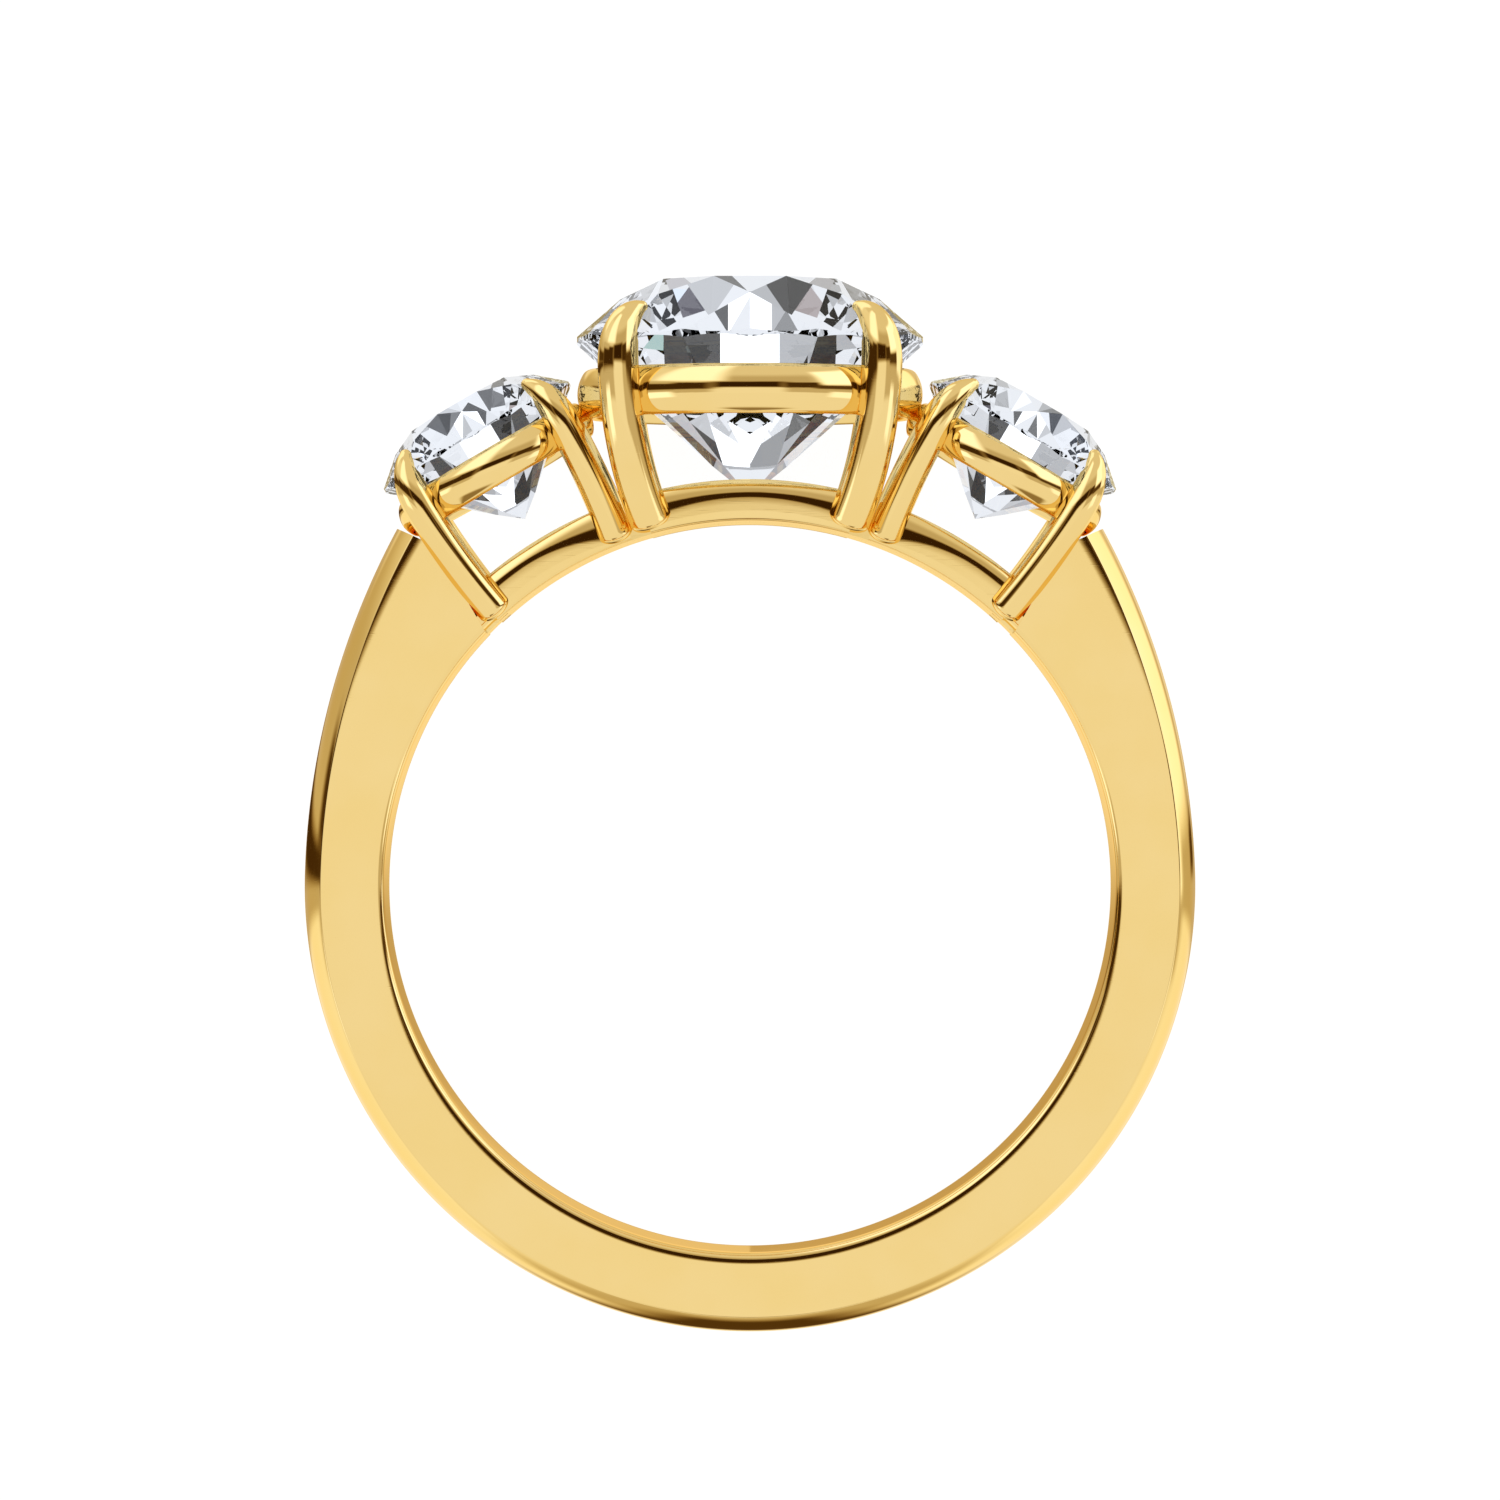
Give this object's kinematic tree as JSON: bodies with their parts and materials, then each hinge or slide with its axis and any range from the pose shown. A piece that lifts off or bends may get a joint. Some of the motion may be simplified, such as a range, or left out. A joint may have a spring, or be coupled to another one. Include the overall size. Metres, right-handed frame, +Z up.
{
  "type": "diamond ring",
  "caption": "Three-stone ring: a round brilliant between two smaller outward-leaning ones in prong baskets, on a domed shank.",
  "frame": {"origin": "on the surface that the ring lies on, below the middle of its bounding box", "axes": "+Y from the foot of the shank towards the head, +X across the finger bore to the right stone, +Z up; the bore's axis leans 6.02 degrees from +Z towards -Y, because the ring rests on its side on the middle basket's rail and the foot of the shank"},
  "size_m": [0.0208, 0.0246, 0.0082],
  "materials": {
    "gold": "polished 18-carat yellow gold",
    "diamond": "clear, polished facets"
  },
  "bodies": {
    "root": {"mounting": "gold", "center_stone": "diamond", "left_stone": "diamond", "right_stone": "diamond"}
  },
  "joints": []
}
